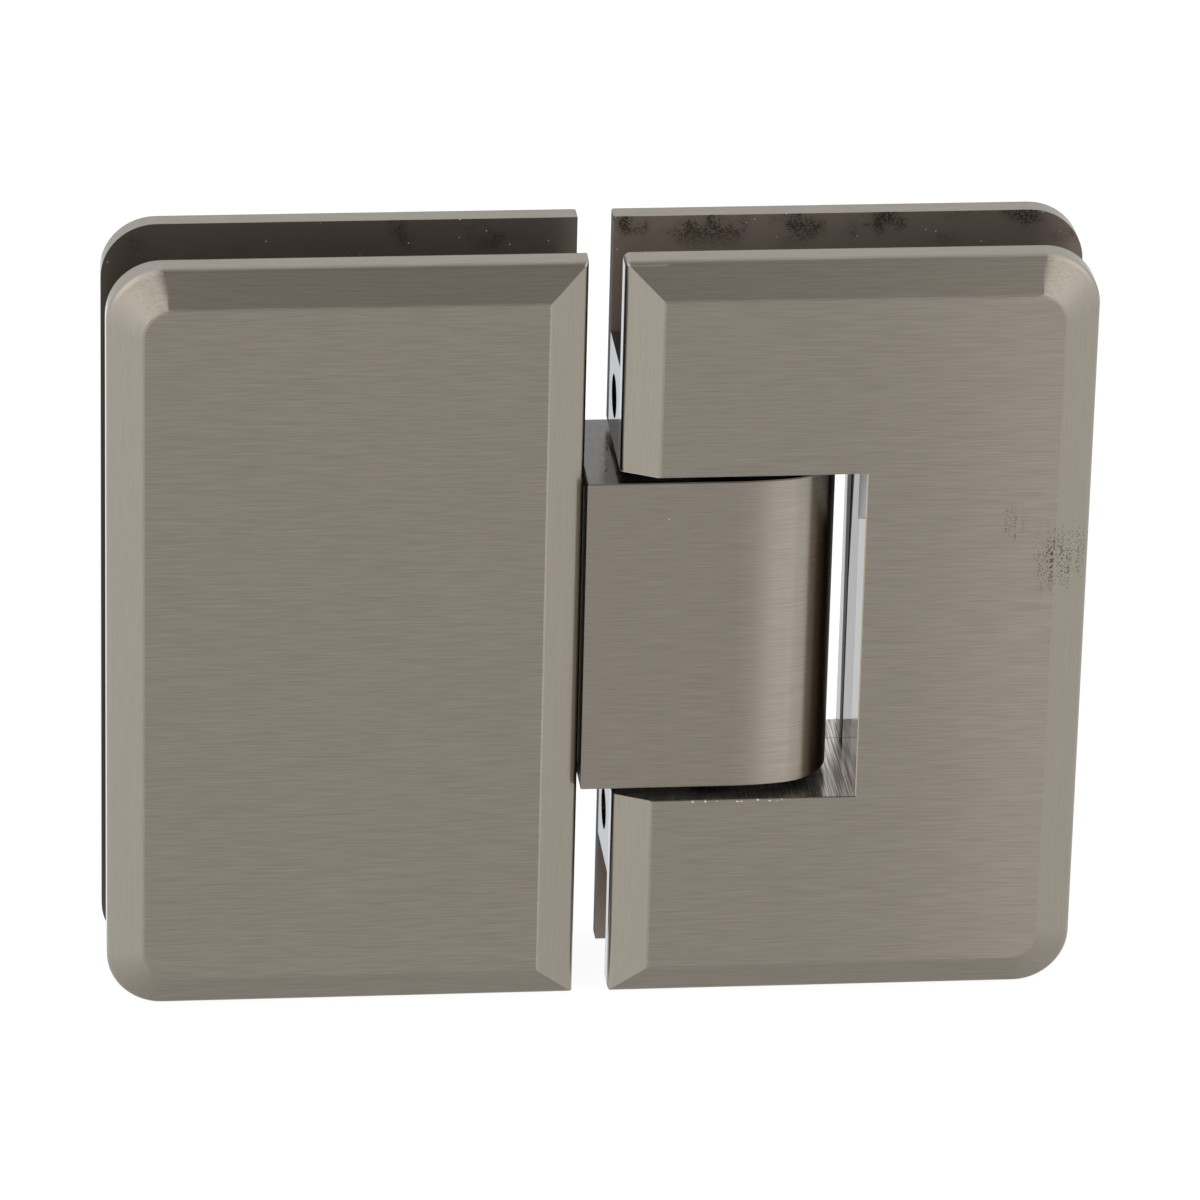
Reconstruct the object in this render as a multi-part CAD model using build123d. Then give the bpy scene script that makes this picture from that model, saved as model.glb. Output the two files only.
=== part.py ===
from build123d import *
import math
import os

# Glass-to-glass shower door hinge, shown closed with both leaves in one plane.
# +X runs from the fixed leaf to the door leaf, +Y to the rear, +Z up.
# The origin is the middle of the closed hinge, half way between its plates.

# Leaves and plates
leaf_height = 90.0
leaf_width = 53.0
leaf_split = 4.0
plate_thickness = 5.0
edge_flat = 2.8
bevel_width = 4.0
split_bevel_width = 4.3
outer_corner_radius = 6.2
face_corner_radius = 3.4
front_corner_radius = 0.8
outer_edge_radius = 0.9
edge_ease = 0.12

# Glass and gaskets
glass_thickness = 8.0
gasket_thickness = 1.2
gasket_edge_inset = 6.0
gasket_split_inset = 3.0
gasket_block_clearance = 1.5
gasket_corner_radius = 2.0
clamp_gap = 0.1

# Notch of the door leaf and the knuckle that stands in it
notch_height = 39.8
notch_depth = 27.4
axis_to_notch_wall = 11.0
rear_notch_relief = 0.4
knuckle_end_gap = 2.5
knuckle_axial_gap = 1.1
knuckle_face_recess = 1.1
knuckle_corner_radius = 7.0
knuckle_soft_radius = 30.0
knuckle_soft_turn = 11.0
knuckle_plate_gap = 0.3
tongue_length = 24.0
tongue_height = 34.0
tongue_corner_radius = 3.0

# Pin carrier of the door leaf
arm_height = 11.3
spine_width = 10.0
carrier_corner_radius = 2.0
spine_relief_depth = 3.5
spine_relief_width = 0.7

# Pin, bushes and set screws
pin_diameter = 6.0
pin_end_recess = 1.0
pin_end_chamfer = 0.5
pin_flat_depth = 0.4
pin_flat_height = 7.0
pin_running_clearance = 0.03
pin_seat_clearance = 0.02
pin_middle_clearance = 0.5
bush_wall = 1.5
bush_length = 9.0
bush_flange_width = 2.0
thrust_clearance = 0.1
set_screw_size = 5.0
set_screw_length = 6.0

# Detent plungers and their springs
detent_spacing = 9.0
detent_bore = 5.0
plunger_clearance = 0.1
plunger_pin_clearance = 0.15
plunger_length = 9.0
plunger_nose_chamfer = 0.8
plunger_spigot_length = 3.0
spring_length = 14.0
spring_wire = 0.7
spring_turns = 6.0
spring_bore_clearance = 0.25
spigot_clearance = 0.2
plug_length = 5.0

# Clamp screws, which pull the rear plates to the front plates
clamp_screw_size = 5.0
clamp_screw_head = 9.6
clamp_screw_inset = 10.0
clamp_screw_spacing = 23.0

# Block screws, which hold the tongue and the carrier to the front plates
block_screw_size = 4.0
block_screw_head = 7.6
tongue_screw_inset = 19.0
carrier_screw_spacing = 20.0

# Shared by all screws
head_sink = 0.2
head_rim = 0.3
screw_clearance = 0.3
tapped_depth = 3.6
screw_tip_clearance = 0.4
key_share_of_size = 0.55
key_depth_share_of_size = 0.5

# Planes and levels worked out from the sizes above
glass_gap = glass_thickness + 2 * gasket_thickness
inner_face = glass_gap / 2
outer_face = inner_face + plate_thickness
block_rear = inner_face - clamp_gap
half_height = leaf_height / 2
split_edge = leaf_split / 2
outer_edge = split_edge + leaf_width
notch_wall = split_edge + notch_depth
notch_top = notch_height / 2
axis_x = notch_wall - axis_to_notch_wall
knuckle_left = -split_edge + knuckle_plate_gap
knuckle_right = notch_wall - knuckle_end_gap
knuckle_face = outer_face - knuckle_face_recess
knuckle_top = notch_top - knuckle_axial_gap
tongue_end = -split_edge - tongue_length
carrier_end = notch_wall + spine_width
arm_top = notch_top + arm_height
arm_middle = notch_top + arm_height / 2
pin_radius = pin_diameter / 2
pin_top = arm_top - pin_end_recess
pin_flat = axis_x - pin_radius + pin_flat_depth
bush_bore = pin_diameter + 2 * pin_running_clearance
bush_diameter = bush_bore + 2 * bush_wall
bush_flange = bush_diameter + 2 * bush_flange_width
plunger_tip = axis_x - pin_radius - plunger_pin_clearance
plunger_back = plunger_tip - plunger_length
plug_face = plunger_back - spring_length
plug_end = plug_face - plug_length
spring_diameter = detent_bore - 2 * spring_bore_clearance
spigot_diameter = spring_diameter - 2 * spring_wire - 2 * spigot_clearance
tapped_end = inner_face + tapped_depth
clamp_x_fixed = -split_edge - clamp_screw_inset
clamp_x_door = notch_wall + spine_width / 2
clamp_z_fixed = clamp_screw_spacing / 2
tongue_screw_x = -split_edge - tongue_screw_inset
carrier_screw_z = carrier_screw_spacing / 2

FIXED_CLAMPS = [(clamp_x_fixed, clamp_z_fixed), (clamp_x_fixed, -clamp_z_fixed)]
DOOR_CLAMPS = [(clamp_x_door, arm_middle), (clamp_x_door, -arm_middle)]
TONGUE_SCREWS = [(tongue_screw_x, clamp_z_fixed), (tongue_screw_x, -clamp_z_fixed)]
CARRIER_SCREWS = [(clamp_x_door, carrier_screw_z), (clamp_x_door, -carrier_screw_z)]


def bar_x(y, z, diameter, start, end):
    """Round bar along X from start to end."""
    return extrude(Plane.YZ.offset(start) * Pos(y, z) * Circle(diameter / 2), amount=end - start)


def bar_y(x, z, diameter, start, end):
    """Round bar along Y from start to end."""
    return extrude(Plane.XZ.offset(-end) * Pos(x, z) * Circle(diameter / 2), amount=end - start)


def bar_z(x, diameter, start, end):
    """Round bar along Z from start to end, in the middle plane of the hinge."""
    return extrude(Plane.XY.offset(start) * Pos(x, 0) * Circle(diameter / 2), amount=end - start)


def slab(left, right, low, high, front, rear):
    """Block between two X values, two Z values and two Y values."""
    outline = Pos((left + right) / 2, (low + high) / 2) * Rectangle(right - left, high - low)
    return extrude(Plane.XZ.offset(-rear) * outline, amount=rear - front)


def fixed_outline(inset, split_inset):
    """Outline of the fixed leaf pulled in by the insets, with rounded outer corners.

    The corner radius goes evenly from that of the rim to that of the face.
    """
    left = -outer_edge + inset
    right = -split_edge - split_inset
    outline = Rectangle(right - left, leaf_height - 2 * inset)
    corners = outline.vertices().sort_by(Axis.X)[:2]
    radius = outer_corner_radius - (outer_corner_radius - face_corner_radius) * inset / bevel_width
    return Pos((left + right) / 2, 0) * fillet(corners, radius)


def plate_blank():
    """Front plate of the fixed leaf: a flat rim, then a bevel on all four sides up to the face.

    The edge between rim and bevel is rounded, and a narrow facet eases the edge between bevel and face.
    """
    bevel_rise = plate_thickness - edge_flat
    ease_up = edge_ease * bevel_rise / bevel_width
    steps = [
        (edge_flat, 0, 0),
        (plate_thickness - ease_up, bevel_width - edge_ease, split_bevel_width - edge_ease),
        (plate_thickness, bevel_width + edge_ease, split_bevel_width + edge_ease),
    ]
    outlines = [Plane.XZ.offset(inner_face + height) * fixed_outline(*insets) for height, *insets in steps]
    rim = extrude(Plane.XZ.offset(inner_face) * fixed_outline(0, 0), amount=edge_flat)
    plate = rim + loft(outlines, ruled=True)
    bevel_foot = -inner_face - edge_flat
    foot_edges = plate.edges().filter_by_position(Axis.Y, bevel_foot, bevel_foot)
    return fillet(foot_edges, outer_edge_radius)


def screw_profile(size, head, length):
    """Half section of a countersunk screw, head at the top, with a small flat rim round the head."""
    cone_end = -head_rim - (head - size) / 2
    return make_face(
        Polyline(
            (0, 0),
            (head / 2, 0),
            (head / 2, -head_rim),
            (size / 2, cone_end),
            (size / 2, -length),
            (0, -length),
            close=True,
        )
    )


def countersunk_screw(x, z, head_top, tip, size, head):
    """Countersunk socket screw along Y, with its head to the rear."""
    body = revolve(Plane.XZ * screw_profile(size, head, head_top - tip), Axis.Z)
    key = RegularPolygon(size * key_share_of_size / 2, 6, major_radius=False)
    body -= extrude(key, amount=-size * key_depth_share_of_size)
    return Plane(origin=(x, head_top, z), x_dir=(1, 0, 0), z_dir=(0, 1, 0)) * body


def countersink(x, z, face, size, head):
    """Cutter for a plain hole with a seat for a countersunk head sunk below the face."""
    sunk = face - head_sink
    head_room = bar_y(x, z, head, sunk - head_rim, face)
    cone_height = (head - size) / 2
    cone = Cone(size / 2, head / 2, cone_height, align=(Align.CENTER, Align.CENTER, Align.MIN))
    cone_foot = (x, sunk - head_rim - cone_height, z)
    seat = Plane(origin=cone_foot, x_dir=(1, 0, 0), z_dir=(0, 1, 0)) * cone
    return head_room + seat


def tapped_holes(places, size):
    """Cutters for blind tapped holes in the inner face of a front plate."""
    return [bar_y(x, z, size, -tapped_end, -inner_face) for x, z in places]


def plain_holes(places, size, front, rear):
    """Cutters for holes that a screw passes through with room."""
    return [bar_y(x, z, size + 2 * screw_clearance, front, rear) for x, z in places]


def sunk_seats(places, face, size, head):
    """Cutters for the seats of several countersunk heads."""
    return [countersink(x, z, face, size, head) for x, z in places]


def screw_set(places, face, size, head):
    """Countersunk screws sunk in the given face, ending in the tapped holes of the front plate."""
    head_top = face - head_sink
    tip = -tapped_end + screw_tip_clearance
    return Compound([countersunk_screw(x, z, head_top, tip, size, head) for x, z in places])


def notch_ease():
    """Cutter that eases the edges of the notch at the front face, growing towards the face."""
    outlines = []
    for grown in (0, edge_ease):
        width = notch_depth + leaf_split + grown
        middle = notch_wall + grown - width / 2
        outline = Pos(middle, 0) * Rectangle(width, notch_height + 2 * grown)
        outlines.append(Plane.XZ.offset(outer_face - edge_ease + grown) * outline)
    return loft(outlines, ruled=True)


def rear_plate(blank, clamps):
    """Rear plate: the front blank mirrored, with seats for the clamp screws."""
    plate = mirror(blank, about=Plane.XZ)
    plate -= plain_holes(clamps, clamp_screw_size, inner_face, outer_face)
    return plate - sunk_seats(clamps, outer_face, clamp_screw_size, clamp_screw_head)


# Fixed leaf plates
fixed_blank = plate_blank()
left_front_plate = fixed_blank - tapped_holes(FIXED_CLAMPS, clamp_screw_size)
left_front_plate -= tapped_holes(TONGUE_SCREWS, block_screw_size)
left_rear_plate = rear_plate(fixed_blank, FIXED_CLAMPS)

# Door leaf plates, with the notch open towards the fixed leaf
notch = slab(-split_edge, notch_wall, -notch_top, notch_top, -outer_face, outer_face)
rear_notch_wall = notch_wall + rear_notch_relief
rear_notch = slab(-split_edge, rear_notch_wall, -notch_top, notch_top, inner_face, outer_face)
door_blank = mirror(fixed_blank, about=Plane.YZ) - notch - notch_ease()
round_outline = fillet(fixed_outline(0, 0).vertices().group_by(Axis.X)[-1], front_corner_radius)
round_block = extrude(Plane.XZ.offset(inner_face) * mirror(round_outline, about=Plane.YZ), amount=plate_thickness)
right_front_plate = (door_blank & round_block) - tapped_holes(DOOR_CLAMPS, clamp_screw_size)
right_front_plate -= tapped_holes(CARRIER_SCREWS, block_screw_size)
right_rear_plate = rear_plate(door_blank, DOOR_CLAMPS) - rear_notch


def gasket(block_end, block_top):
    """Gasket against a front plate of the fixed leaf, cut out round the block between the plates."""
    left = -outer_edge + gasket_edge_inset
    right = -split_edge - gasket_split_inset
    top = half_height - gasket_edge_inset
    front = -inner_face
    rear = -inner_face + gasket_thickness
    sheet = slab(left, right, -top, top, front, rear)
    sheet = fillet(sheet.edges().filter_by(Axis.Y), gasket_corner_radius)
    cut_left = block_end - gasket_block_clearance
    cut_top = block_top + gasket_block_clearance
    return sheet - slab(cut_left, -split_edge, -cut_top, cut_top, front, rear)


# Gaskets
left_front_gasket = gasket(tongue_end, tongue_height / 2)
left_rear_gasket = mirror(left_front_gasket, about=Plane.XZ)
right_front_gasket = mirror(gasket(-carrier_end, arm_top), about=Plane.YZ)
right_rear_gasket = mirror(right_front_gasket, about=Plane.XZ)

def knuckle_outline():
    """Outline of the knuckle from above: its faces turn softly and then tightly into the free end."""
    soft_reach = (knuckle_soft_radius - knuckle_corner_radius) * math.sin(math.radians(knuckle_soft_turn))
    soft_start = knuckle_right - knuckle_corner_radius - soft_reach
    face = Line((knuckle_left, -knuckle_face), (soft_start, -knuckle_face))
    soft = JernArc(face @ 1, face % 1, knuckle_soft_radius, knuckle_soft_turn)
    corner = JernArc(soft @ 1, soft % 1, knuckle_corner_radius, 90 - knuckle_soft_turn)
    rest = Polyline(corner @ 1, (knuckle_right, 0), (knuckle_left, 0), face @ 0)
    half = make_face([face, soft, corner, *rest.edges()])
    return half + mirror(half, about=Plane.XZ)


# Pivot body: the knuckle, rounded at its free end, and the tongue between the fixed plates
knuckle = extrude(Plane.XY.offset(-knuckle_top) * knuckle_outline(), amount=2 * knuckle_top)
knuckle = chamfer(knuckle.faces().filter_by(Axis.Z).edges(), edge_ease)
tongue_top = tongue_height / 2
tongue = slab(tongue_end, knuckle_left, -tongue_top, tongue_top, -inner_face, block_rear)
tongue = fillet(tongue.edges().filter_by(Axis.Y).group_by(Axis.X)[0], tongue_corner_radius)
pivot_body = knuckle + tongue
middle_bore = pin_diameter + 2 * pin_middle_clearance
bush_foot = knuckle_top - bush_length
pivot_body -= bar_z(axis_x, middle_bore, -knuckle_top, knuckle_top)
pivot_body -= bar_z(axis_x, bush_diameter, bush_foot, knuckle_top)
pivot_body -= bar_z(axis_x, bush_diameter, -knuckle_top, -bush_foot)
pivot_body -= bar_x(0, detent_spacing / 2, detent_bore, tongue_end, axis_x)
pivot_body -= bar_x(0, -detent_spacing / 2, detent_bore, tongue_end, axis_x)
pivot_body -= plain_holes(FIXED_CLAMPS, clamp_screw_size, -inner_face, block_rear)
pivot_body -= plain_holes(TONGUE_SCREWS, block_screw_size, -inner_face, block_rear)
pivot_body -= sunk_seats(TONGUE_SCREWS, block_rear, block_screw_size, block_screw_head)

# Pin carrier: a C-shaped block round the notch, with the pin held in its two arms
carrier = slab(split_edge, carrier_end, -arm_top, arm_top, -inner_face, block_rear)
carrier = fillet(carrier.edges().filter_by(Axis.Y).group_by(Axis.X)[-1], carrier_corner_radius)
pin_hole = pin_diameter + 2 * pin_seat_clearance
carrier -= notch
relief = make_face(
    Polyline(
        (notch_wall, block_rear),
        (notch_wall, block_rear - spine_relief_depth),
        (notch_wall + spine_relief_width, block_rear),
        close=True,
    )
)
carrier -= extrude(Plane.XY.offset(-notch_top) * relief, amount=notch_height)
carrier -= bar_z(axis_x, pin_hole, -arm_top, arm_top)
carrier -= bar_x(0, arm_middle, set_screw_size, split_edge, axis_x)
carrier -= bar_x(0, -arm_middle, set_screw_size, split_edge, axis_x)
carrier -= plain_holes(DOOR_CLAMPS, clamp_screw_size, -inner_face, block_rear)
carrier -= plain_holes(CARRIER_SCREWS, block_screw_size, -inner_face, block_rear)
pin_carrier = carrier - sunk_seats(CARRIER_SCREWS, block_rear, block_screw_size, block_screw_head)

# Hinge pin, with flats for the set screws at its ends and for the plungers in its middle
pin = bar_z(axis_x, pin_diameter, -pin_top, pin_top)
pin = chamfer(pin.edges().filter_by(GeomType.CIRCLE), pin_end_chamfer)
flat_left = axis_x - pin_diameter
for flat_middle in (arm_middle, detent_spacing / 2, -detent_spacing / 2, -arm_middle):
    flat_low = flat_middle - pin_flat_height / 2
    flat_high = flat_middle + pin_flat_height / 2
    pin -= slab(flat_left, pin_flat, flat_low, flat_high, -pin_radius, pin_radius)
hinge_pin = pin

# Flanged bushes in the two ends of the knuckle
flange_top = notch_top - thrust_clearance
bush = bar_z(axis_x, bush_diameter, bush_foot, knuckle_top)
bush += bar_z(axis_x, bush_flange, knuckle_top, flange_top)
upper_pin_bush = bush - bar_z(axis_x, bush_bore, bush_foot, flange_top)
lower_pin_bush = mirror(upper_pin_bush, about=Plane.XY)


def socket_plug(z, size, end, tip):
    """Headless socket screw along X, with its key at the low end."""
    plug = bar_x(0, z, size, end, tip)
    key = Plane.YZ.offset(end) * Pos(0, z) * RegularPolygon(size * key_share_of_size / 2, 6, major_radius=False)
    return plug - extrude(key, amount=size * key_depth_share_of_size)


# Set screws of the carrier and plugs behind the detent springs
upper_set_screw = socket_plug(arm_middle, set_screw_size, pin_flat - set_screw_length, pin_flat)
lower_set_screw = mirror(upper_set_screw, about=Plane.XY)
upper_plug = socket_plug(detent_spacing / 2, detent_bore, plug_end, plug_face)
spring_plugs = Compound([upper_plug, mirror(upper_plug, about=Plane.XY)])

# Detent plungers, each with a spigot inside its spring
plunger_z = detent_spacing / 2
plunger = bar_x(0, plunger_z, detent_bore - 2 * plunger_clearance, plunger_back, plunger_tip)
plunger = chamfer(plunger.edges().filter_by(GeomType.CIRCLE).sort_by(Axis.X)[-1], plunger_nose_chamfer)
plunger += bar_x(0, plunger_z, spigot_diameter, plunger_back - plunger_spigot_length, plunger_back)
upper_detent_plunger = plunger
lower_detent_plunger = mirror(upper_detent_plunger, about=Plane.XY)

# Detent springs, coiled from square wire along X between the plug and the plunger
coil_length = spring_length - spring_wire
coil = Helix(coil_length / spring_turns, coil_length, (spring_diameter - spring_wire) / 2)
wire_end = Plane(origin=coil @ 0, x_dir=(1, 0, 0), z_dir=coil % 0)
wire = sweep(wire_end * Rectangle(spring_wire, spring_wire), path=coil, is_frenet=True)
coil_start = (plug_face + spring_wire / 2, 0, plunger_z)
upper_detent_spring = Plane(origin=coil_start, x_dir=(0, 1, 0), z_dir=(1, 0, 0)) * wire
lower_detent_spring = mirror(upper_detent_spring, about=Plane.XY)

# Screws
left_clamp_screws = screw_set(FIXED_CLAMPS, outer_face, clamp_screw_size, clamp_screw_head)
right_clamp_screws = screw_set(DOOR_CLAMPS, outer_face, clamp_screw_size, clamp_screw_head)
tongue_screws = screw_set(TONGUE_SCREWS, block_rear, block_screw_size, block_screw_head)
carrier_screws = screw_set(CARRIER_SCREWS, block_rear, block_screw_size, block_screw_head)

NODES = {
    "left_front_plate": left_front_plate,
    "left_rear_plate": left_rear_plate,
    "left_front_gasket": left_front_gasket,
    "left_rear_gasket": left_rear_gasket,
    "pivot_body": pivot_body,
    "tongue_screws": tongue_screws,
    "left_clamp_screws": left_clamp_screws,
    "upper_pin_bush": upper_pin_bush,
    "lower_pin_bush": lower_pin_bush,
    "upper_detent_plunger": upper_detent_plunger,
    "lower_detent_plunger": lower_detent_plunger,
    "upper_detent_spring": upper_detent_spring,
    "lower_detent_spring": lower_detent_spring,
    "spring_plugs": spring_plugs,
    "right_front_plate": right_front_plate,
    "right_rear_plate": right_rear_plate,
    "right_front_gasket": right_front_gasket,
    "right_rear_gasket": right_rear_gasket,
    "pin_carrier": pin_carrier,
    "carrier_screws": carrier_screws,
    "right_clamp_screws": right_clamp_screws,
    "hinge_pin": hinge_pin,
    "upper_set_screw": upper_set_screw,
    "lower_set_screw": lower_set_screw,
}

os.makedirs("parts", exist_ok=True)
for name, shape in NODES.items():
    export_step(shape, f"parts/{name}.step")
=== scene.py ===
import math
import bpy
import numpy as np
from mathutils import Matrix, Vector


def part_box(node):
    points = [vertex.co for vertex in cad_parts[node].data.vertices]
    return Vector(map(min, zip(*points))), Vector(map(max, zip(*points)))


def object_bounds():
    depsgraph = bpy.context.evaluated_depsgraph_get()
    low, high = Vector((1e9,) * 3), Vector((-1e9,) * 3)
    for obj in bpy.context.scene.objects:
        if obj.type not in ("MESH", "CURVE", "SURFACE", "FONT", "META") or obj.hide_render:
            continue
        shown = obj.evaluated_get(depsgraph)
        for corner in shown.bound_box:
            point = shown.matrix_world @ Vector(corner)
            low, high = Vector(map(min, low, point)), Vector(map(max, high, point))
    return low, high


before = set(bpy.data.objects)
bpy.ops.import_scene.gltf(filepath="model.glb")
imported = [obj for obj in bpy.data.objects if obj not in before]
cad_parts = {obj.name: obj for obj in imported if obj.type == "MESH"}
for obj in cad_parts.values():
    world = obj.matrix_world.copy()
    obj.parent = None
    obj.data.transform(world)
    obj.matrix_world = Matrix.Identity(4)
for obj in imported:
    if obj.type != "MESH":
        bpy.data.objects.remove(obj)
cad_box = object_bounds()

# Sizes of the hinge that the finishes need, in millimetres
PER_METRE = 1000.0
INNER_FACE = 5.2
OUTER_FACE = 10.2
NOTCH_WALL = 29.4
REAR_NOTCH_WALL = 29.8
RELIEF_REACH = 1.0
NOTCH_TOP = 19.9
EDGE_EASE = 0.12

# Narrow border of a mask, in millimetres
HAIR = 0.02

# Masks by place in millimetres, from where each begins to where it is full
STRAIGHT_START = (6.6, 6.8)
STRAIGHT_STOP = (48.4, 48.2)
BEVEL_FOOT = (41.0, 41.2)
SPLIT_SIDE = (2.6, 2.2)
SPLIT_LOW = (-28.0, -36.0)
STAINED_TOP = (40.0, 43.8)
SHADED_INNER = (8.0, 46.0)
PATCH_FOOT = (9.8, 10.1)
PATCH_BACK = (-3.8, -4.4)
LINT_START = (8.0, 12.0)
LINT_STOP = (23.0, 19.0)

# Masks by how much a surface faces one way
SIDE_BEVEL = (0.25, 0.42)
SQUARE_ON = (0.8, 0.95)
EDGE_ONLY = (0.95, 0.985)

# Noise values between which a tone goes from deep to pale
LINE_SPREAD = (0.32, 0.68)
SOFT_SPREAD = (0.3, 0.7)
FIRM_SPREAD = (0.35, 0.65)

# Noise cells per millimetre
LINES_ACROSS = 11.0
LINES_ALONG = 0.22
STAIN_FLECKS = (4.0, 4.0, 5.0)
GRIME_DOTS = (5.6, 1.2, 4.4)
GRIME_ROWS = (2.6, 0.3, 0.1)
SANDING_MARKS = (5.5, 0.12, 1.0)
MILLING_MARKS = (1.2, 0.4, 1.0)
POLISH_CLOUDS = (0.25, 0.25, 0.25)
TURNED_RINGS = (9.0, 9.0, 1.0)

# Specks: cells per millimetre, share of the cells that hold one, and radius in millimetres
DUST_SPECKS = {"Per mm": 0.9, "Share": 0.45, "Radius": 0.08}
PLATE_NICKS = {"Per mm": 0.13, "Share": 0.16, "Radius": 0.11}
KNUCKLE_NICKS = {"Per mm": 0.14, "Share": 0.2, "Radius": 0.11}
CARRIER_SPOTS = {"Per mm": 0.4, "Share": 0.2, "Radius": 0.08}
LINT_SPECKS = {"Per mm": 2.2, "Share": 0.4, "Radius": 0.16}

# Grime patches on the front door plate: middle and reach in millimetres
THICK_GRIME = {"x": 51.6, "z": 9.0, "reach_x": 4.6, "reach_z": 6.2}
THIN_GRIME = {"x": 46.0, "z": 13.6, "reach_x": 2.6, "reach_z": 3.2}

# Bump depths in metres
LINE_DEPTH = 0.0000012
SANDING_DEPTH = 0.000006
RING_DEPTH = 0.000008
CLOUD_DEPTH = 0.00001

# Roughness, and how far brushing stretches highlights
BRUSHED_ROUGH = (0.345, 0.325)
POLISHED_ROUGH = (0.07, 0.13)
BEVEL_ROUGH = 0.24
EDGE_ROUGH = 0.1
INNER_ROUGH = 0.45
SANDED_ROUGH = 0.26
MILLED_ROUGH = 0.16
DULL_ROUGH = 0.6
LINT_ROUGH = 0.9
MATT_ROUGH = 1.0
SCREW_ROUGH = 0.22
UNEVEN_ROUGH = 0.08
PLATE_STRETCH = 0.88
KNUCKLE_STRETCH = 0.96

# How clear the vinyl is, and how much it bends light
VINYL_CLEARNESS = 0.6
VINYL_BENDING = 1.5

# Metal colours, linear
NICKEL_DEEP = (0.283, 0.2505, 0.211, 1.0)
NICKEL_PALE = (0.340, 0.3025, 0.257, 1.0)
KNUCKLE_DEEP = (0.299, 0.2625, 0.2205, 1.0)
KNUCKLE_PALE = (0.357, 0.3165, 0.269, 1.0)
POLISHED_DEEP = (0.40, 0.40, 0.405, 1.0)
POLISHED_PALE = (0.47, 0.47, 0.475, 1.0)
MILLED_DEEP = (0.094, 0.083, 0.073, 1.0)
MILLED_PALE = (0.112, 0.098, 0.086, 1.0)
SANDED_DEEP = (0.22, 0.192, 0.165, 1.0)
SANDED_PALE = (0.60, 0.555, 0.50, 1.0)
NOTCH_WALL_TONE = (0.32, 0.272, 0.23, 1.0)
# Painted shade on the faces towards the glass, standing in for the dark gap they reflect: darker on the left
# leaf, and darker still towards the outer end of the door plates
INNER_LEFT_PAINTED_SHADE = (0.158, 0.132, 0.110, 1.0)
INNER_RIGHT_PAINTED_SHADE = (0.325, 0.265, 0.220, 1.0)
INNER_SHADE = (0.205, 0.170, 0.142, 1.0)
BARE_EDGE = (0.44, 0.42, 0.395, 1.0)
# Painted shade: dark on the rear door plate's split rim and in the joint beside the carrier, and a little
# blue low down on that rim
PAINTED_SHADE_DARK = (0.02, 0.02, 0.022, 1.0)
PAINTED_SHADE_BLUE = (0.03, 0.055, 0.10, 1.0)
BRASS = (0.52, 0.40, 0.24, 1.0)
# Painted reflection: a grey matt patch on the upper front of the notch's wall
PAINTED_REFLECTION_GREY = (0.50, 0.495, 0.48, 1.0)
EDGE_ON = (0.72, 0.72, 0.72, 1.0)
EDGE_ON_POLISHED = (0.575, 0.572, 0.57, 1.0)
STAINLESS_PALE = (0.37, 0.36, 0.345, 1.0)
STAINLESS_DEEP = (0.25, 0.243, 0.232, 1.0)
BLACK_PALE = (0.045, 0.045, 0.048, 1.0)
BLACK_DEEP = (0.02, 0.02, 0.022, 1.0)

# Colours of plastics and of marks on the metal, linear
NYLON_PALE = (0.030, 0.030, 0.031, 1.0)
NYLON_DEEP = (0.018, 0.018, 0.019, 1.0)
VINYL_PALE = (0.80, 0.83, 0.84, 1.0)
VINYL_DEEP = (0.72, 0.76, 0.78, 1.0)
STAIN = (0.055, 0.045, 0.036, 1.0)
GRIME = (0.045, 0.040, 0.034, 1.0)
NICK = (0.62, 0.59, 0.54, 1.0)
LINT = (0.80, 0.79, 0.77, 1.0)
DUST = (0.95, 0.90, 0.82, 1.0)


def feed(tree, socket, value):
    """Links an output to the socket, or sets a plain value on it."""
    if isinstance(value, bpy.types.NodeSocket):
        tree.links.new(value, socket)
    else:
        socket.default_value = value


def add_node(tree, kind, inputs=(), **options):
    """Adds a shader node with its options, then feeds its inputs by name or number."""
    made = tree.nodes.new("ShaderNode" + kind)
    for name, value in options.items():
        setattr(made, name, value)
    for name, value in dict(inputs).items():
        feed(tree, made.inputs[name], value)
    return made


def work_out(tree, operation, *values):
    """One step of arithmetic on values and outputs."""
    step = add_node(tree, "Math", enumerate(values), operation=operation)
    return step.outputs[0]


def size_of(tree, value):
    """Value without its sign."""
    return work_out(tree, "ABSOLUTE", value)


def rest_of(tree, mask):
    """One less the mask."""
    return work_out(tree, "SUBTRACT", 1.0, mask)


def plus(tree, base, value, share):
    """The base plus a share of the value."""
    return work_out(tree, "ADD", base, work_out(tree, "MULTIPLY", value, share))


def both(tree, *masks):
    """Product of several masks."""
    result = masks[0]
    for mask in masks[1:]:
        result = work_out(tree, "MULTIPLY", result, mask)
    return result


def ramp(tree, value, low, high, at_low=0.0, at_high=1.0):
    """Smooth step from at_low to at_high while the value goes from low to high."""
    ends = {"Value": value, "From Min": low, "From Max": high, "To Min": at_low, "To Max": at_high}
    step = add_node(tree, "MapRange", ends, interpolation_type="SMOOTHSTEP")
    return step.outputs["Result"]


def blend(tree, share, first, second):
    """Colour that goes from the first to the second as the share goes from 0 to 1."""
    mix = add_node(tree, "Mix", data_type="RGBA")
    feed(tree, mix.inputs["Factor"], share)
    colours = [socket for socket in mix.inputs if socket.type == "RGBA"]
    feed(tree, colours[0], first)
    feed(tree, colours[1], second)
    return next(socket for socket in mix.outputs if socket.type == "RGBA")


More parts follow.
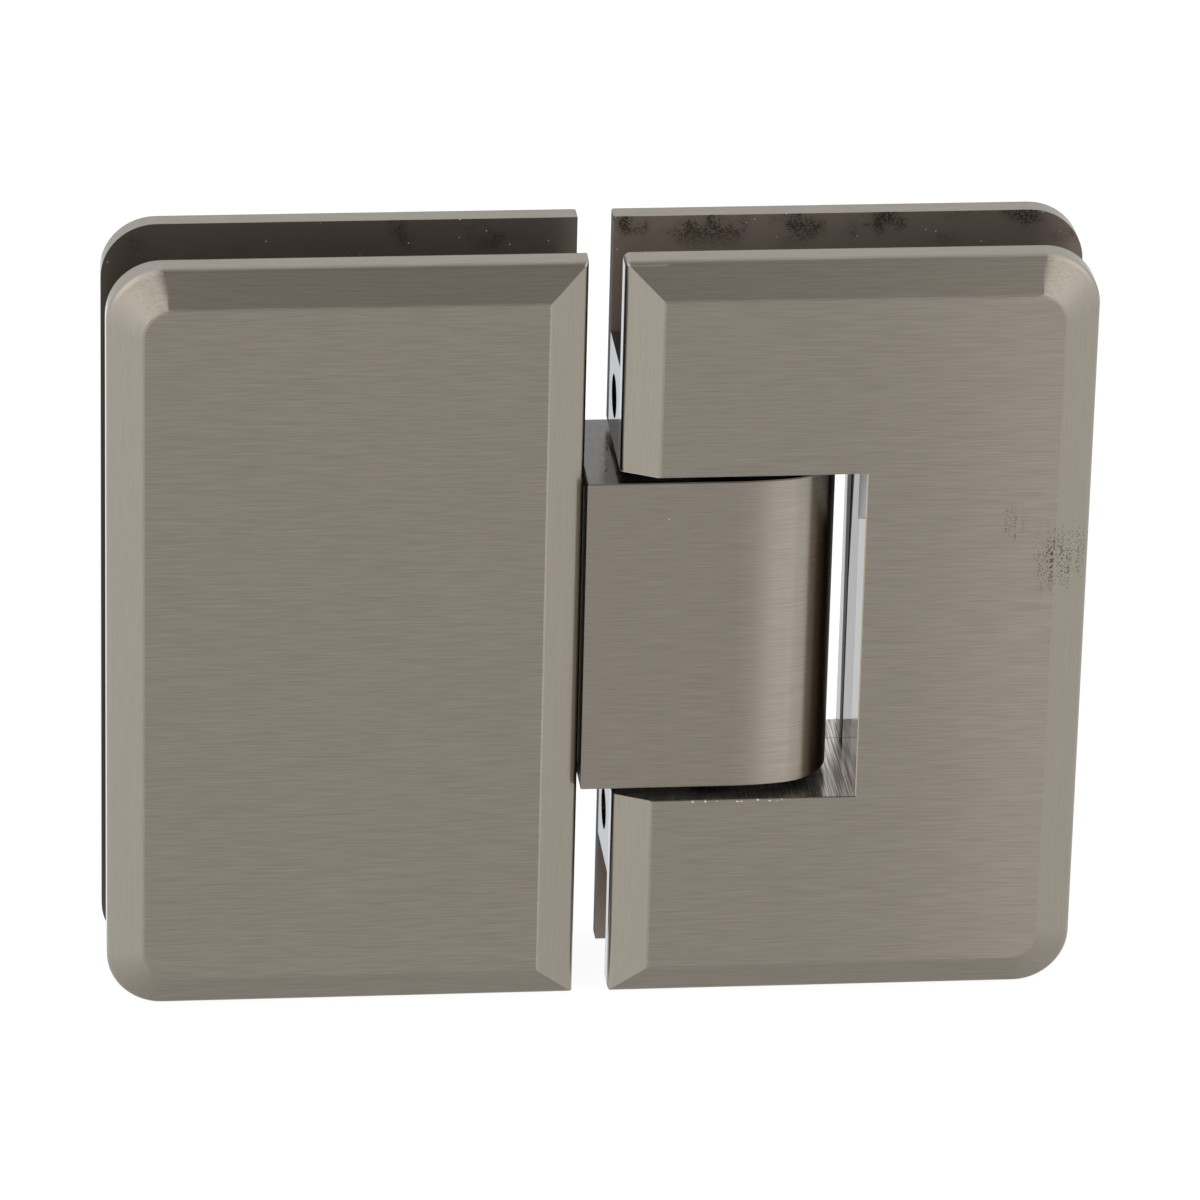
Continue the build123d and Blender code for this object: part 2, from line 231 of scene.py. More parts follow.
def slide(tree, share, first, second):
    """Value that goes from the first to the second as the share goes from 0 to 1."""
    mix = add_node(tree, "Mix", data_type="FLOAT")
    feed(tree, mix.inputs["Factor"], share)
    feed(tree, mix.inputs["A"], first)
    feed(tree, mix.inputs["B"], second)
    return mix.outputs["Result"]


def grain(tree, place, per_mm, detail=2.0):
    """Noise over places in millimetres, with its own number of cells per millimetre along x, y and z."""
    spread = add_node(tree, "VectorMath", {0: place, 1: per_mm}, operation="MULTIPLY")
    noise = add_node(tree, "TexNoise", {"Vector": spread.outputs[0], "Scale": 1.0, "Detail": detail})
    return noise.outputs[0]


def new_group(name, takes, gives):
    """Empty node group with named number inputs and named outputs."""
    tree = bpy.data.node_groups.new(name, "ShaderNodeTree")
    for title, start_value in takes.items():
        socket = tree.interface.new_socket(title, in_out="INPUT", socket_type="NodeSocketFloat")
        socket.default_value = start_value
    for title, kind in gives.items():
        tree.interface.new_socket(title, in_out="OUTPUT", socket_type="NodeSocket" + kind)
    start = tree.nodes.new("NodeGroupInput")
    end = tree.nodes.new("NodeGroupOutput")
    return tree, start.outputs, end.inputs


def use_group(tree, group, **values):
    """Places a node group in a material with its own values, and gives its outputs."""
    made = tree.nodes.new("ShaderNodeGroup")
    made.node_tree = group
    for name, value in values.items():
        feed(tree, made.inputs[name], value)
    return made.outputs


def place_group():
    """Where a point lies on the closed hinge in millimetres, and which way its surface faces."""
    gives = {"Place": "Vector", "X": "Float", "Y": "Float", "Z": "Float"}
    gives.update({"Sideways": "Float", "Upwards": "Float", "Facing": "Vector"})
    tree, _, end = new_group("hinge_place", {}, gives)
    where = add_node(tree, "TexCoord")
    scaling = {0: where.outputs["Object"], "Scale": PER_METRE}
    place = add_node(tree, "VectorMath", scaling, operation="SCALE").outputs[0]
    feed(tree, end["Place"], place)
    feed(tree, end["Facing"], where.outputs["Normal"])
    parts = add_node(tree, "SeparateXYZ", {0: place})
    facing = add_node(tree, "SeparateXYZ", {0: where.outputs["Normal"]})
    for axis in "XYZ":
        feed(tree, end[axis], parts.outputs[axis])
    for axis, title in (("X", "Sideways"), ("Z", "Upwards")):
        feed(tree, end[title], size_of(tree, facing.outputs[axis]))
    return tree


def brush_group(place):
    """Brush lines: noise drawn out along the brushing, level on faces and upright on side bevels.

    Two layers, one fine and one half as fine, are mixed. Deep says how many level lines a millimetre of
    depth has.
    """
    coarse_share = 0.3
    upright_softening = 0.7
    noise_middle = 0.5
    takes = {"Fine": LINES_ACROSS, "Long": LINES_ALONG, "Deep": LINES_ACROSS, "Upright share": 1.0}
    tree, start, end = new_group("brush_lines", takes, {"Lines": "Float", "Upright": "Float"})
    here = use_group(tree, place)
    upright = both(tree, ramp(tree, here["Sideways"], *SIDE_BEVEL), start["Upright share"])
    layers = []
    for fineness in (1.0, 0.5):
        fine = work_out(tree, "MULTIPLY", start["Fine"], fineness)
        long = work_out(tree, "MULTIPLY", start["Long"], fineness)
        deep = work_out(tree, "MULTIPLY", start["Deep"], fineness)
        level_cells = add_node(tree, "CombineXYZ", {"X": long, "Y": deep, "Z": fine}).outputs[0]
        upright_cells = add_node(tree, "CombineXYZ", {"X": fine, "Y": fine, "Z": long}).outputs[0]
        level_lines = grain(tree, here["Place"], level_cells)
        upright_lines = grain(tree, here["Place"], upright_cells)
        layers.append(slide(tree, upright, level_lines, upright_lines))
    lines = slide(tree, coarse_share, layers[0], layers[1])
    feed(tree, end["Lines"], slide(tree, both(tree, upright, upright_softening), lines, noise_middle))
    feed(tree, end["Upright"], upright)
    return tree


def speck_group(place):
    """Scattered round specks: the middle of a few random cells of a cell pattern."""
    takes = {"Per mm": 0.3, "Share": 0.1, "Radius": 0.05}
    tree, start, end = new_group("specks", takes, {"Specks": "Float"})
    here = use_group(tree, place)
    cells = add_node(tree, "TexVoronoi", {"Vector": here["Place"], "Scale": start["Per mm"]})
    radius = work_out(tree, "MULTIPLY", start["Radius"], start["Per mm"])
    dot = work_out(tree, "LESS_THAN", cells.outputs["Distance"], radius)
    chance = add_node(tree, "SeparateColor", {0: cells.outputs["Color"]})
    chosen = work_out(tree, "LESS_THAN", chance.outputs[0], start["Share"])
    feed(tree, end["Specks"], both(tree, dot, chosen))
    return tree


def stain_group(place):
    """Dry water marks: faint smudges of noise with small dark flecks in them."""
    smudge_border = (-0.04, 0.16)
    smudge_strength = 0.3
    fleck_border = (0.64, 0.7)
    fleck_gain = 0.2
    takes = {"Cover": 0.5, "Patch": 0.2}
    tree, start, end = new_group("dry_stains", takes, {"Stain": "Float"})
    here = use_group(tree, place)
    patch_cells = add_node(tree, "CombineXYZ", {axis: start["Patch"] for axis in "XYZ"})
    patches = grain(tree, here["Place"], patch_cells.outputs[0], detail=4.0)
    flecks = grain(tree, here["Place"], STAIN_FLECKS, detail=5.0)
    above_edge = work_out(tree, "SUBTRACT", patches, rest_of(tree, start["Cover"]))
    smudges = ramp(tree, above_edge, *smudge_border)
    broken = ramp(tree, plus(tree, flecks, smudges, fleck_gain), *fleck_border)
    feed(tree, end["Stain"], both(tree, smudges, ramp(tree, broken, 0.0, 1.0, smudge_strength, 1.0)))
    return tree


PLACE = place_group()
BRUSH = brush_group(PLACE)
SPECKS = speck_group(PLACE)
STAINS = stain_group(PLACE)


def new_finish(name):
    """New material with its shader, and the tree that holds them."""
    material = bpy.data.materials.new(name)
    material.use_nodes = True
    tree = material.node_tree
    return material, tree, tree.nodes["Principled BSDF"]


def lay(tree, look, mask, colour, rough=None, metal=None, cover=1.0):
    """Lays a finish over a look where the mask is 1.

    Its colour covers as much as cover says. Roughness and metal share stay as they are where none is given.
    """
    look["Base Color"] = blend(tree, both(tree, mask, cover), look["Base Color"], colour)
    if rough is not None:
        look["Roughness"] = slide(tree, mask, look["Roughness"], rough)
    if metal is not None:
        look["Metallic"] = slide(tree, mask, look["Metallic"], metal)


def use_look(tree, shader, look):
    """Feeds a finished look to the shader."""
    for title, value in look.items():
        feed(tree, shader.inputs[title], value)


def scatter(tree, values):
    """Mask of scattered specks with the given values."""
    return use_group(tree, SPECKS, **values)["Specks"]


def to_world(tree, vector, kind):
    """Turns a vector or a normal from the piece's own frame into the world's."""
    options = {"vector_type": kind, "convert_from": "OBJECT", "convert_to": "WORLD"}
    return add_node(tree, "VectorTransform", {0: vector}, **options).outputs[0]


def set_across(tree, shader):
    """Stretches highlights upright, across the level brush lines, in the piece's own frame."""
    across = add_node(tree, "CombineXYZ", {"Z": 1.0}).outputs[0]
    feed(tree, shader.inputs["Tangent"], to_world(tree, across, "VECTOR"))


def set_bump(tree, shader, height, depth, normal=None):
    """Bump of the given depth in metres, on the surface's own normal or the given one."""
    bump = add_node(tree, "Bump", {"Height": height, "Distance": depth, "Strength": 1.0})
    if normal:
        feed(tree, bump.inputs["Normal"], normal)
    feed(tree, shader.inputs["Normal"], bump.outputs[0])


def straight_normal(tree, here):
    """Normal without its sideways part along the upper and lower edge of a plate, between its corners.

    The bevel and the rounded edge run straight there, so a sideways part comes only from uneven facets.
    """
    across = size_of(tree, here["X"])
    start = ramp(tree, across, *STRAIGHT_START)
    stop = ramp(tree, across, *STRAIGHT_STOP)
    straight = both(tree, start, stop, ramp(tree, size_of(tree, here["Z"]), *BEVEL_FOOT))
    shares = add_node(tree, "CombineXYZ", {"X": rest_of(tree, straight), "Y": 1.0, "Z": 1.0})
    level = add_node(tree, "VectorMath", {0: here["Facing"], 1: shares.outputs[0]}, operation="MULTIPLY")
    return to_world(tree, level.outputs[0], "NORMAL")


def inside_notch(tree, here, wall):
    """Mask of the notch's walls: no other metal of the piece lies inside its outline."""
    across = ramp(tree, here["X"], wall + 3 * HAIR, wall + HAIR)
    height = ramp(tree, size_of(tree, here["Z"]), NOTCH_TOP + 3 * HAIR, NOTCH_TOP + HAIR)
    return both(tree, across, height)


def painted_reflection_patch(tree, here):
    """Mask of the upper front end of the notch's wall, where a grey matt patch is painted in as a
    reflection.
    """
    slope = 0.45
    above = plus(tree, here["Z"], here["Y"], slope)
    return both(tree, ramp(tree, above, *PATCH_FOOT), ramp(tree, here["Y"], *PATCH_BACK))


def joint_painted_shadow(tree, here):
    """Mask of painted shadow along the joint of the carrier and the rear plate, wider towards the top.

    Two straight lines bound it, one behind the joint and one in front.
    """
    rear_depth = 7.7
    rear_slope = 0.042
    rear_border = 0.2
    front_depth = 1.8
    front_slope = -0.108
    front_border = 0.3
    rear_line = plus(tree, rear_depth, here["Z"], rear_slope)
    front_line = plus(tree, front_depth, here["Z"], front_slope)
    to_rear = work_out(tree, "SUBTRACT", rear_line, here["Y"])
    from_front = work_out(tree, "SUBTRACT", here["Y"], front_line)
    before_rear = ramp(tree, to_rear, -rear_border, rear_border)
    return both(tree, before_rear, ramp(tree, from_front, -front_border, front_border))


def notch_edge(tree, here):
    """Mask of the eased edge of the notch beside its wall, where brass shows through the plating."""
    border = 0.05
    eased_wall = NOTCH_WALL + EDGE_EASE
    eased_face = OUTER_FACE - EDGE_EASE
    start = ramp(tree, here["X"], NOTCH_WALL + HAIR, NOTCH_WALL + border)
    stop = ramp(tree, here["X"], eased_wall + HAIR, eased_wall - HAIR)
    height = ramp(tree, size_of(tree, here["Z"]), NOTCH_TOP + EDGE_EASE, NOTCH_TOP)
    depth = ramp(tree, size_of(tree, here["Y"]), eased_face - border, eased_face)
    return both(tree, start, stop, height, depth)


def distance_from(tree, here, x, z, reach_x=1.0, reach_z=1.0):
    """Distance from a point seen from the front, with each direction measured in its own reach."""
    off_x = work_out(tree, "DIVIDE", work_out(tree, "SUBTRACT", here["X"], x), reach_x)
    off_z = work_out(tree, "DIVIDE", work_out(tree, "SUBTRACT", here["Z"], z), reach_z)
    square_x = work_out(tree, "MULTIPLY", off_x, off_x)
    square_z = work_out(tree, "MULTIPLY", off_z, off_z)
    return work_out(tree, "SQRT", work_out(tree, "ADD", square_x, square_z))


def fingerprint_grime(tree, here):
    """Grime left on the right end of the front door plate: rows of dots that follow upright brush lines.

    One thick patch lies near the edge, and a thin one above it to the left.
    """
    thick_border = (1.1, 0.15)
    thin_border = (1.1, 0.2)
    thin_share = 0.6
    row_share = 0.5
    gain = 0.16
    dot_border = (0.96, 1.08)
    thick = ramp(tree, distance_from(tree, here, **THICK_GRIME), *thick_border)
    thin = ramp(tree, distance_from(tree, here, **THIN_GRIME), *thin_border)
    near = work_out(tree, "MAXIMUM", thick, both(tree, thin, thin_share))
    dots = grain(tree, here["Place"], GRIME_DOTS, detail=0.0)
    rows = grain(tree, here["Place"], GRIME_ROWS, detail=0.0)
    reached = plus(tree, plus(tree, dots, rows, row_share), near, gain)
    return both(tree, near, ramp(tree, reached, *dot_border))


def notch_lint(tree, here):
    """Lint caught along the front of the notch's lower edge."""
    drop = 0.4
    border = 0.1
    low = ramp(tree, here["Z"], -NOTCH_TOP - drop, -NOTCH_TOP - drop + border)
    high = ramp(tree, here["Z"], -NOTCH_TOP + border, -NOTCH_TOP)
    start = ramp(tree, here["X"], *LINT_START)
    stop = ramp(tree, here["X"], *LINT_STOP)
    front = ramp(tree, here["Y"], EDGE_EASE - OUTER_FACE, -OUTER_FACE)
    return both(tree, scatter(tree, LINT_SPECKS), low, high, start, stop, front)


def notch_sanding(tree, here):
    """Sanding marks along the depth of the notch, and the colour of the metal among them."""
    marks = grain(tree, here["Place"], SANDING_MARKS, detail=3.0)
    return marks, blend(tree, ramp(tree, marks, *FIRM_SPREAD), SANDED_DEEP, SANDED_PALE)


def brushed_look(tree, lines, deep, pale):
    """Look of brushed metal, whose lines go from the deep colour to the pale one."""
    tone = ramp(tree, lines, *LINE_SPREAD)
    rough = slide(tree, tone, *BRUSHED_ROUGH)
    return {"Base Color": blend(tree, tone, deep, pale), "Roughness": rough, "Metallic": 1.0}


def lay_painted_split_shade(tree, look, here, edge):
    """Painted shade on the rim at the split between the leaves, a little blue low down."""
    low = ramp(tree, here["Z"], *SPLIT_LOW)
    split = both(tree, edge, ramp(tree, here["X"], *SPLIT_SIDE))
    lay(tree, look, split, blend(tree, low, PAINTED_SHADE_DARK, PAINTED_SHADE_BLUE), MATT_ROUGH, metal=0.0)


def lay_inner_face(tree, look, here, tone, stain_cover):
    """Face towards the glass: a painted shade tone for the dark gap it reflects, stains near the top, and
    dust.
    """
    depth = size_of(tree, here["Y"])
    inner = ramp(tree, depth, INNER_FACE + EDGE_EASE, INNER_FACE + 2 * HAIR)
    near_top = ramp(tree, here["Z"], *STAINED_TOP)
    stain = both(tree, use_group(tree, STAINS, Cover=stain_cover)["Stain"], inner, near_top)
    lay(tree, look, inner, tone, INNER_ROUGH)
    lay(tree, look, stain, STAIN, cover=0.95)
    lay(tree, look, both(tree, scatter(tree, DUST_SPECKS), inner), DUST)


def lay_notch(tree, look, here, notch_wall):
    """Walls of a plate's notch: polished upright, sanded level, with a painted reflection, painted shadow
    along the joint and a worn edge.
    """
    wall = inside_notch(tree, here, notch_wall)
    level = ramp(tree, here["Upwards"], *SQUARE_ON)
    upright = both(tree, wall, rest_of(tree, level))
    _, sanded = notch_sanding(tree, here)
    wall_tone = blend(tree, level, NOTCH_WALL_TONE, sanded)
    lay(tree, look, wall, wall_tone, slide(tree, level, EDGE_ROUGH, SANDED_ROUGH))
    # Painted reflection on the upper front of the wall
    lay(tree, look, both(tree, upright, painted_reflection_patch(tree, here)), PAINTED_REFLECTION_GREY, DULL_ROUGH, metal=0.0)
    # Painted shadow along the joint of the carrier and the rear plate
    lay(tree, look, both(tree, upright, joint_painted_shadow(tree, here)), PAINTED_SHADE_DARK, MATT_ROUGH, metal=0.0)
    lay(tree, look, notch_edge(tree, here), BRASS, cover=0.6)


def plate_finish(name, inner_painted_shade, stain_cover, notch_wall=None, grimy=False, painted_split_shade=False):
    """Brushed nickel plate: brushed outside, polished at its edges, stained where it meets the glass, and
    with painted shade on that face.
    """
    material, tree, shader = new_finish(name)
    here = use_group(tree, PLACE)
    brush = use_group(tree, BRUSH)
    look = brushed_look(tree, brush["Lines"], NICKEL_DEEP, NICKEL_PALE)
    look["Roughness"] = slide(tree, brush["Upright"], look["Roughness"], BEVEL_ROUGH)
    edge = ramp(tree, here["Sideways"], *EDGE_ONLY)
    lay(tree, look, edge, BARE_EDGE, EDGE_ROUGH)
    # Painted shade on the split rim
    if painted_split_shade:
        lay_painted_split_shade(tree, look, here, edge)
    if notch_wall:
        # Painted shade: the inner face darkens towards the outer end of the door plates
        inner_painted_shade = blend(tree, ramp(tree, here["X"], *SHADED_INNER), inner_painted_shade, INNER_SHADE)
    lay_inner_face(tree, look, here, inner_painted_shade, stain_cover)
    lay(tree, look, scatter(tree, PLATE_NICKS), NICK)
    if notch_wall:
        lay_notch(tree, look, here, notch_wall)
    if grimy:
        lay(tree, look, fingerprint_grime(tree, here), GRIME, DULL_ROUGH, cover=0.72)
        lay(tree, look, notch_lint(tree, here), LINT, LINT_ROUGH)
    use_look(tree, shader, look)
    feed(tree, shader.inputs["Anisotropic"], PLATE_STRETCH)
    feed(tree, shader.inputs["Specular Tint"], EDGE_ON)
    set_across(tree, shader)
    set_bump(tree, shader, brush["Lines"], LINE_DEPTH, straight_normal(tree, here))
    return material


def knuckle_finish():
    """Knuckle: brushed level round its free end, with smooth milled faces at top and bottom."""
    material, tree, shader = new_finish("knuckle_nickel")
    here = use_group(tree, PLACE)
    brush = use_group(tree, BRUSH, **{"Upright share": 0.0, "Deep": LINES_ALONG})
    look = brushed_look(tree, brush["Lines"], KNUCKLE_DEEP, KNUCKLE_PALE)
    milling = grain(tree, here["Place"], MILLING_MARKS)
    milled = blend(tree, ramp(tree, milling, *SOFT_SPREAD), MILLED_DEEP, MILLED_PALE)
    lay(tree, look, ramp(tree, here["Upwards"], *SQUARE_ON), milled, MILLED_ROUGH)
    lay(tree, look, scatter(tree, KNUCKLE_NICKS), NICK)
    use_look(tree, shader, look)
    feed(tree, shader.inputs["Anisotropic"], KNUCKLE_STRETCH)
    set_across(tree, shader)
    set_bump(tree, shader, brush["Lines"], LINE_DEPTH)
    return material


def carrier_finish():
    """Pin carrier: polished nickel, with sanding marks, a painted reflection and painted shadow in the
    notch.
    """
    material, tree, shader = new_finish("carrier_nickel")
    here = use_group(tree, PLACE)
    cloud = grain(tree, here["Place"], POLISH_CLOUDS, detail=3.0)
    colour = blend(tree, ramp(tree, cloud, *FIRM_SPREAD), POLISHED_DEEP, POLISHED_PALE)
    rough = ramp(tree, cloud, *SOFT_SPREAD, *POLISHED_ROUGH)
    look = {"Base Color": colour, "Roughness": rough, "Metallic": 1.0}
    inside = inside_notch(tree, here, NOTCH_WALL)
    level = both(tree, ramp(tree, here["Upwards"], *SQUARE_ON), inside)
    sideways = ramp(tree, here["Sideways"], *SQUARE_ON)
    wall = both(tree, sideways, inside)
    relief = both(tree, sideways, inside_notch(tree, here, NOTCH_WALL + RELIEF_REACH))
    sanding, sanded = notch_sanding(tree, here)
    lay(tree, look, level, sanded, SANDED_ROUGH)
    lay(tree, look, wall, NOTCH_WALL_TONE)
    # Painted reflection on the upper front of the wall
    lay(tree, look, both(tree, wall, painted_reflection_patch(tree, here)), PAINTED_REFLECTION_GREY, DULL_ROUGH, metal=0.0)
    # Painted shadow along the joint of the carrier and the rear plate
    lay(tree, look, both(tree, relief, joint_painted_shadow(tree, here)), PAINTED_SHADE_DARK, MATT_ROUGH, metal=0.0)
    lay(tree, look, scatter(tree, CARRIER_SPOTS), STAIN)
    use_look(tree, shader, look)
    feed(tree, shader.inputs["Specular Tint"], EDGE_ON_POLISHED)
    set_bump(tree, shader, both(tree, sanding, level), SANDING_DEPTH)
    return material


def uneven_look(tree, noise, pale, deep, roughness, metallic):
    """Look whose colour and gloss follow a noise."""
    tone = ramp(tree, noise, *SOFT_SPREAD)
    rough = slide(tree, tone, roughness + UNEVEN_ROUGH, roughness)
    return {"Base Color": blend(tree, tone, deep, pale), "Roughness": rough, "Metallic": metallic}


def turned_finish(name, pale, deep, roughness, node):
    """Turned screws: fine rings round the axis of the upper and lower screw of the node."""
    low, high = (np.array(corner) * PER_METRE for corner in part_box(node))
    radius = (high[0] - low[0]) / 2
    middle_x = (high[0] + low[0]) / 2
    middle_z = high[2] - radius
    material, tree, shader = new_finish(name)
    here = use_group(tree, PLACE)
    mirrored = {"X": here["X"], "Z": size_of(tree, here["Z"])}
    away = distance_from(tree, mirrored, middle_x, middle_z)
    ring_place = add_node(tree, "CombineXYZ", {"X": away, "Y": here["Y"]})
    rings = grain(tree, ring_place.outputs[0], TURNED_RINGS, detail=1.0)
    use_look(tree, shader, uneven_look(tree, rings, pale, deep, roughness, metallic=1.0))
    set_bump(tree, shader, rings, RING_DEPTH)
    return material


def grained_finish(name, pale, deep, roughness, metallic, cells):
    """Plain metal or plastic with a soft cloudy grain in its colour and gloss."""
    material, tree, shader = new_finish(name)
    here = use_group(tree, PLACE)
    cloud = grain(tree, here["Place"], (cells, cells, cells), detail=3.0)
    use_look(tree, shader, uneven_look(tree, cloud, pale, deep, roughness, metallic))
    set_bump(tree, shader, cloud, CLOUD_DEPTH)
    return material, shader


stainless, _ = grained_finish("stainless_bright", STAINLESS_PALE, STAINLESS_DEEP,
                              roughness=0.2, metallic=1.0, cells=2.0)
black_steel, _ = grained_finish("black_oxide", BLACK_PALE, BLACK_DEEP,
                                roughness=0.4, metallic=1.0, cells=3.0)
nylon, _ = grained_finish("black_nylon", NYLON_PALE, NYLON_DEEP,
                          roughness=0.45, metallic=0.0, cells=1.5)
clear_vinyl, vinyl_shader = grained_finish("clear_soft_sheet", VINYL_PALE, VINYL_DEEP,
                                           roughness=0.28, metallic=0.0, cells=0.5)
vinyl_shader.inputs["Transmission Weight"].default_value = VINYL_CLEARNESS
vinyl_shader.inputs["IOR"].default_value = VINYL_BENDING

FINISHES = {
    # The inner tones given here are painted shade for the dark gap each inner face reflects
    "left_front_plate": plate_finish("left_front_nickel", INNER_LEFT_PAINTED_SHADE, stain_cover=0.3),
    "left_rear_plate": plate_finish("left_rear_nickel", INNER_LEFT_PAINTED_SHADE, stain_cover=0.46),
    "right_front_plate": plate_finish("right_front_nickel", INNER_RIGHT_PAINTED_SHADE, stain_cover=0.3,
                                      notch_wall=NOTCH_WALL, grimy=True),
    "right_rear_plate": plate_finish("right_rear_nickel", INNER_RIGHT_PAINTED_SHADE, stain_cover=0.53,
                                     # Painted shade on this plate's split rim
                                     notch_wall=REAR_NOTCH_WALL, painted_split_shade=True),
    "pivot_body": knuckle_finish(),
    "pin_carrier": carrier_finish(),
    "upper_pin_bush": nylon,
    "lower_pin_bush": nylon,
    "upper_set_screw": black_steel,
    "lower_set_screw": black_steel,
    "spring_plugs": black_steel,
}
for gasket in ("left_front_gasket", "left_rear_gasket", "right_front_gasket", "right_rear_gasket"):
    FINISHES[gasket] = clear_vinyl
for screws in ("left_clamp_screws", "right_clamp_screws", "tongue_screws", "carrier_screws"):
    FINISHES[screws] = turned_finish(screws + "_turned", STAINLESS_PALE, STAINLESS_DEEP, SCREW_ROUGH, screws)

for name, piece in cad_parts.items():
    for holder in piece.material_slots:
        holder.material = FINISHES.get(name, stainless)


def floor_disc():
    """Floor: rings of points at even turns, their radius growing evenly from the middle to the rim."""
    rings = 24
    turns = 64
    first_ring = 0.002
    rim = 0.7
    height = cad_box[0][2]
    radii = np.linspace(first_ring, rim, rings)
    radius, turn = np.meshgrid(radii, np.arange(turns) * 2 * math.pi / turns)
    points = np.stack([radius * np.cos(turn), radius * np.sin(turn), np.full_like(radius, height)], axis=-1)
    step = np.arange(turns)[:, None] * rings
    following = np.roll(step, -1, axis=0)
    ring = np.arange(rings - 1)[None, :]
    corners = [step + ring, step + ring + 1, following + ring + 1, following + ring]
    faces = np.stack(np.broadcast_arrays(*corners), axis=-1).reshape(-1, 4)
    middle = np.arange(turns) * rings
    mesh = bpy.data.meshes.new("floor")
    mesh.from_pydata(points.reshape(-1, 3).tolist(), [], faces.tolist() + [middle.tolist()])
    floor = bpy.data.objects.new("floor", mesh)
    bpy.context.scene.collection.objects.link(floor)
    return floor


WHITE = (1.0, 1.0, 1.0, 1.0)
FLOOR_SEEN = (0.1, 0.1, 0.1, 1.0)
FLOOR_MATT = (0.8, 0.8, 0.8, 1.0)
FLOOR_GLOW = 0.93


def floor_finish():
    """Pale floor: plain matt for light, and nearly white to the eye with a faint shadow left in."""
    material = bpy.data.materials.new("pale_floor")
    material.use_nodes = True
    tree = material.node_tree
    tree.nodes.remove(tree.nodes["Principled BSDF"])
    path = add_node(tree, "LightPath")
    seen = add_node(tree, "BsdfDiffuse", {"Color": FLOOR_SEEN})
    glow = add_node(tree, "Emission", {"Color": WHITE, "Strength": FLOOR_GLOW})
    bright = add_node(tree, "AddShader", {0: seen.outputs[0], 1: glow.outputs[0]})
    matt = add_node(tree, "BsdfDiffuse", {"Color": FLOOR_MATT})
    choices = {0: path.outputs["Is Camera Ray"], 1: matt.outputs[0], 2: bright.outputs[0]}
    choice = add_node(tree, "MixShader", choices)
    feed(tree, tree.nodes["Material Output"].inputs["Surface"], choice.outputs[0])
    return material


floor = floor_disc()
floor.data.materials.append(floor_finish())
floor.visible_glossy = False
floor.visible_shadow = False

# Studio zones along x, y and z of a direction, from where each begins to where it is full
SIDE_ZONE = (0.2, 0.72)
RIGHT_ZONE = (0.0, 0.2)
BACK_ZONE = (-0.3, 0.6)
HIGH_ZONE = (-0.15, 0.5)
RAISED_ZONE = (0.0, 0.3)
LOWERED_ZONE = (-0.38, -0.5)
LOW_ZONE = (-0.7, -0.98)
STRIP_LEFT = (-0.06, 0.0)
STRIP_RIGHT = (0.225, 0.158)

# Studio brightness, how each zone changes it, and the tints of its light
STUDIO_LEVEL = 0.795
FRONT_SIDES_CHANGE = 0.45
FRONT_RIGHT_CHANGE = -0.12
LOW_SIDES_CHANGE = -0.30
BACK_CHANGE = 0.40
ABOVE_LENS_CHANGE = -0.71
BESIDE_STRIP_CHANGE = 0.76
LOW_CHANGE = -0.2
SIDE_TINT = (0.975, 0.997, 0.997, 1.0)
BACK_TINT = (0.965, 1.0, 1.035, 1.0)


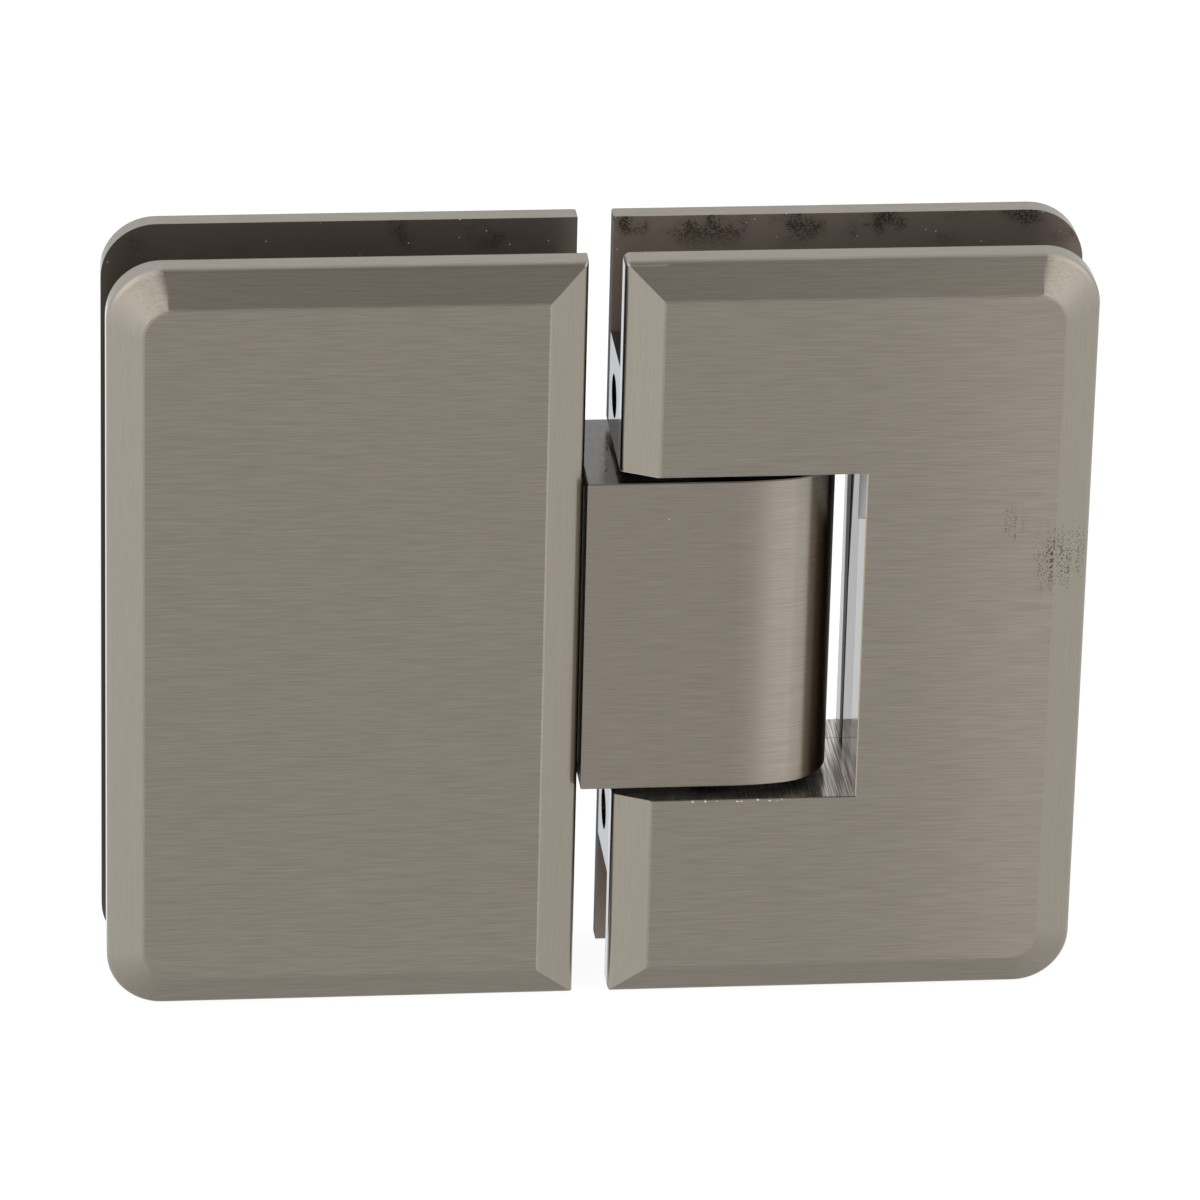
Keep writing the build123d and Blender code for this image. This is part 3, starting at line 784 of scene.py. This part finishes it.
def studio_world():
    """White background, and a soft studio round it for reflections.

    The studio is bright behind and on both sides, most on the left and high up beside a dark upright strip
    above the lens, and darker low down.
    """
    world = bpy.data.worlds.new("studio")
    world.use_nodes = True
    tree = world.node_tree
    where = add_node(tree, "TexCoord")
    x, y, z = add_node(tree, "SeparateXYZ", {0: where.outputs["Generated"]}).outputs
    back = ramp(tree, y, *BACK_ZONE)
    front = rest_of(tree, back)
    strip = both(tree, ramp(tree, x, *STRIP_LEFT), ramp(tree, x, *STRIP_RIGHT))
    front_sides = both(tree, ramp(tree, size_of(tree, x), *SIDE_ZONE), front)
    changes = [
        (front_sides, FRONT_SIDES_CHANGE),
        (both(tree, front_sides, ramp(tree, x, *RIGHT_ZONE)), FRONT_RIGHT_CHANGE),
        (both(tree, front_sides, ramp(tree, z, *LOWERED_ZONE)), LOW_SIDES_CHANGE),
        (back, BACK_CHANGE),
        (both(tree, ramp(tree, z, *HIGH_ZONE), front, strip), ABOVE_LENS_CHANGE),
        (both(tree, ramp(tree, z, *RAISED_ZONE), front, rest_of(tree, strip)), BESIDE_STRIP_CHANGE),
        (ramp(tree, z, *LOW_ZONE), LOW_CHANGE),
    ]
    level = STUDIO_LEVEL
    for zone, change in changes:
        level = plus(tree, level, zone, change)
    tint = blend(tree, back, blend(tree, front_sides, WHITE, SIDE_TINT), BACK_TINT)
    path = add_node(tree, "LightPath")
    seen = work_out(tree, "MAXIMUM", path.outputs["Is Camera Ray"], path.outputs["Is Transmission Ray"])
    background = tree.nodes["Background"]
    feed(tree, background.inputs["Color"], blend(tree, seen, tint, WHITE))
    feed(tree, background.inputs["Strength"], slide(tree, seen, level, 1.0))
    return world


bpy.context.scene.world = studio_world()


def add_panel(name, place, width, height, brightness):
    """Soft panel in front of the hinge that faces it squarely, seen at the given brightness."""
    lamp = bpy.data.lights.new(name, "AREA")
    lamp.shape = "RECTANGLE"
    lamp.size = width
    lamp.size_y = height
    lamp.energy = brightness * math.pi * width * height
    holder = bpy.data.objects.new(name, lamp)
    holder.location = place
    holder.rotation_euler = (math.pi / 2, 0.0, 0.0)
    bpy.context.scene.collection.objects.link(holder)


PANEL_PLACE = (0.0905, -0.13, -0.06)
PANEL_WIDTH = 0.059
PANEL_HEIGHT = 0.13
PANEL_BRIGHTNESS = 0.36
add_panel("right_panel", PANEL_PLACE, PANEL_WIDTH, PANEL_HEIGHT, PANEL_BRIGHTNESS)

# Camera at the photograph's place
EYE = Vector((-0.09482, -0.85972, 0.39794))
TURN = math.radians(6.359)
DIP = math.radians(24.676)
ROLL = math.radians(1.4456)
LENS = 253.24
SENSOR = 36.0
NEAREST = 0.01

ahead = Vector((math.sin(TURN) * math.cos(DIP), math.cos(TURN) * math.cos(DIP), -math.sin(DIP)))
level_right = ahead.cross(Vector((0.0, 0.0, 1.0))).normalized()
level_up = level_right.cross(ahead)
right = math.cos(ROLL) * level_right + math.sin(ROLL) * level_up
up = right.cross(ahead)
turn = Matrix((right, up, -ahead)).transposed()
lens = bpy.data.cameras.new("camera")
lens.lens = LENS
lens.sensor_width = SENSOR
lens.clip_start = NEAREST
camera = bpy.data.objects.new("camera", lens)
camera.matrix_world = Matrix.Translation(EYE) @ turn.to_4x4()
bpy.context.scene.collection.objects.link(camera)
bpy.context.scene.camera = camera

bpy.context.scene.view_settings.view_transform = "Standard"
